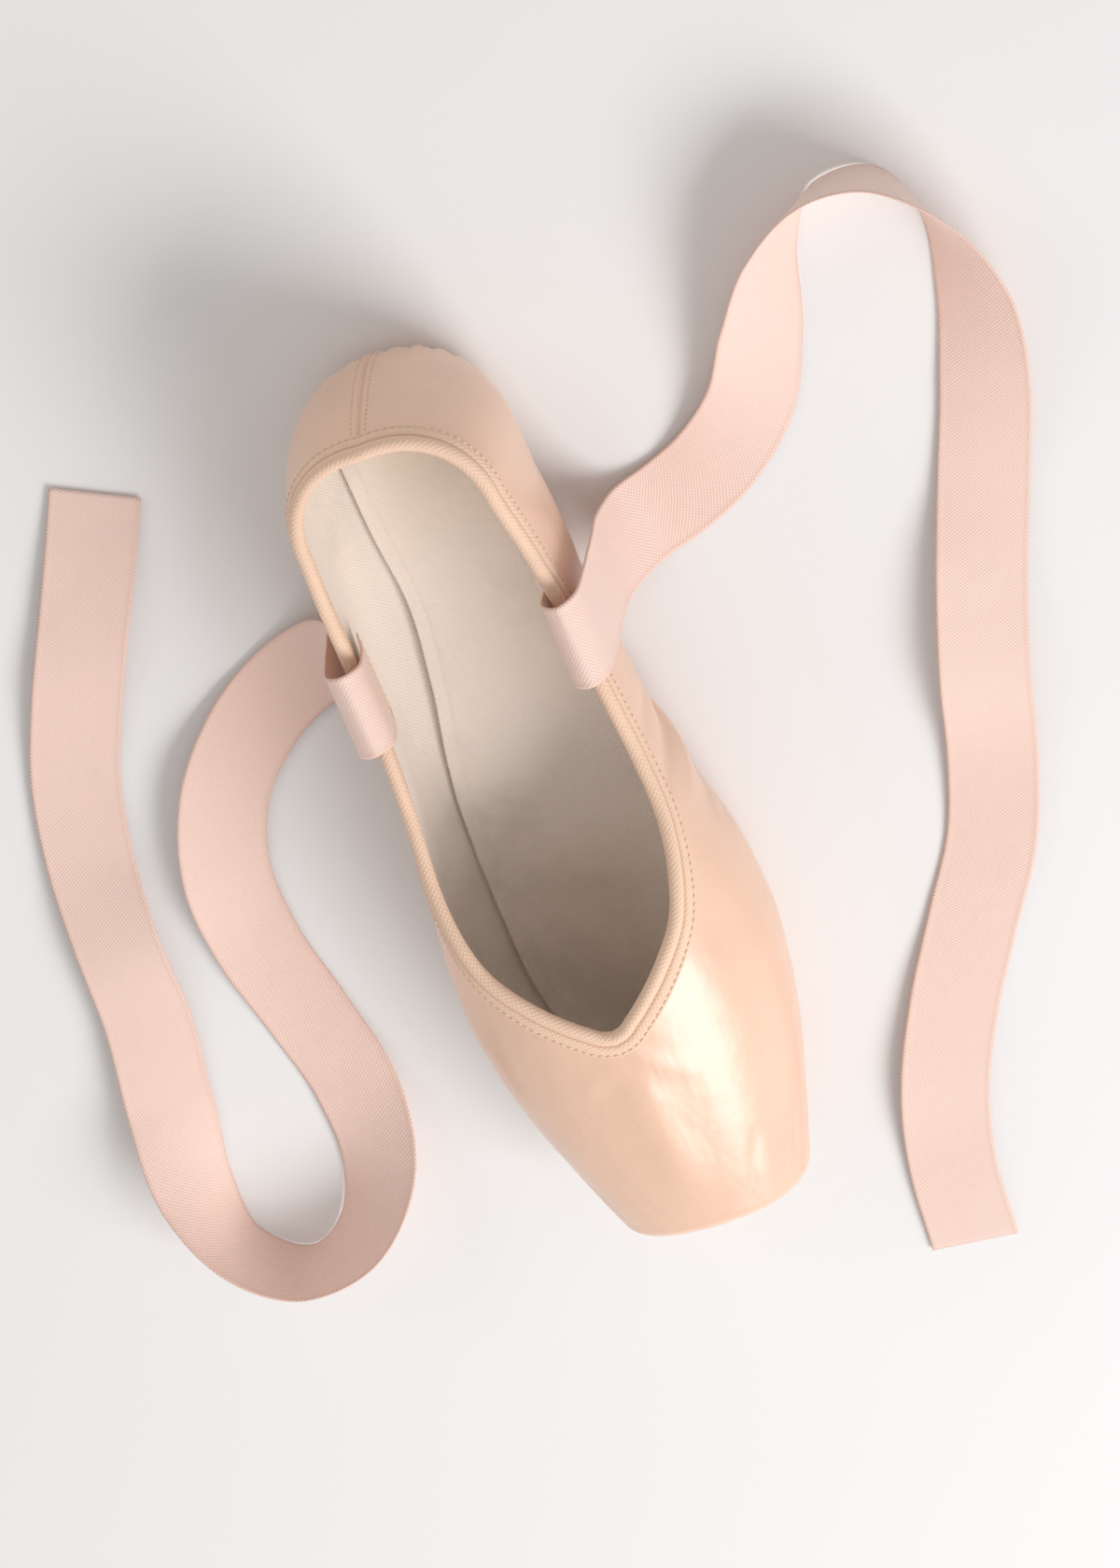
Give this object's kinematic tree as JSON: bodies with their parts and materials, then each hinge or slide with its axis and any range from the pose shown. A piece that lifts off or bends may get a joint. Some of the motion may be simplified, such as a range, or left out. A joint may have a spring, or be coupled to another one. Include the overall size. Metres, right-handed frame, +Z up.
{
  "type": "pointe shoe",
  "caption": "Satin ballet shoe for dancing on the toes: hollow upper with a hard flat-ended toe box, bound throat and collar, thin leather sole and two loose ankle ribbons.",
  "frame": {"origin": "on the floor, under the middle of the shoe's length and width, the ribbons left out", "axes": "+X points to the toe, +Y to the wearer's left, +Z up from the sole"},
  "size_m": [0.2873, 0.2833, 0.0614],
  "materials": {
    "satin": "peach pink satin with a broad soft sheen",
    "sole_leather": "smooth tan leather, embossed with a fine lattice",
    "sock_lining": "matt cream cotton",
    "binding_tape": "matt woven tape",
    "ribbon": "soft matt ribbon with fine woven edges"
  },
  "bodies": {
    "root": {"upper": "satin", "outsole": "sole_leather", "insole": "sock_lining", "collar_binding": "binding_tape", "ribbon_left": "ribbon", "ribbon_right": "ribbon"}
  },
  "joints": []
}
